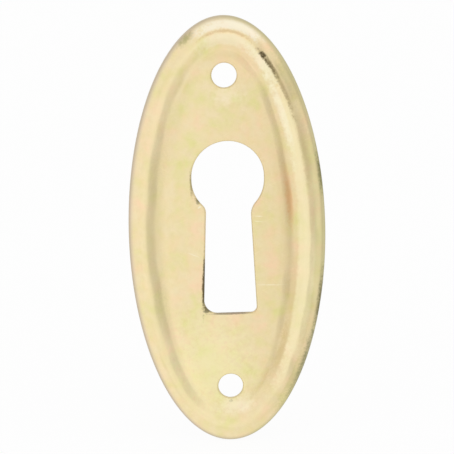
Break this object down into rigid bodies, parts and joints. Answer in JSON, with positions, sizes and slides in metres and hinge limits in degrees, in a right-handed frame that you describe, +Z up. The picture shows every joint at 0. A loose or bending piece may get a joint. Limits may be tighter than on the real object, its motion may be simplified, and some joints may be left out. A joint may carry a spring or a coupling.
{
  "type": "keyhole escutcheon",
  "caption": "Oval pressed brass plate with a beaded rim, a keyhole and pin holes above and below it, fixed over a lock on a drawer or cupboard front.",
  "frame": {"origin": "centre of the oval in the plane of the back edge, which lies against the drawer front", "axes": "+Z up the long axis towards the round head of the keyhole, -Y out of the face, +X to the right as seen from the front"},
  "size_m": [0.0202, 0.0017, 0.0444],
  "materials": {
    "brass_sheet": "pale pressed brass, softly polished, with light tarnish"
  },
  "bodies": {
    "root": {"escutcheon_plate": "brass_sheet"}
  },
  "joints": []
}
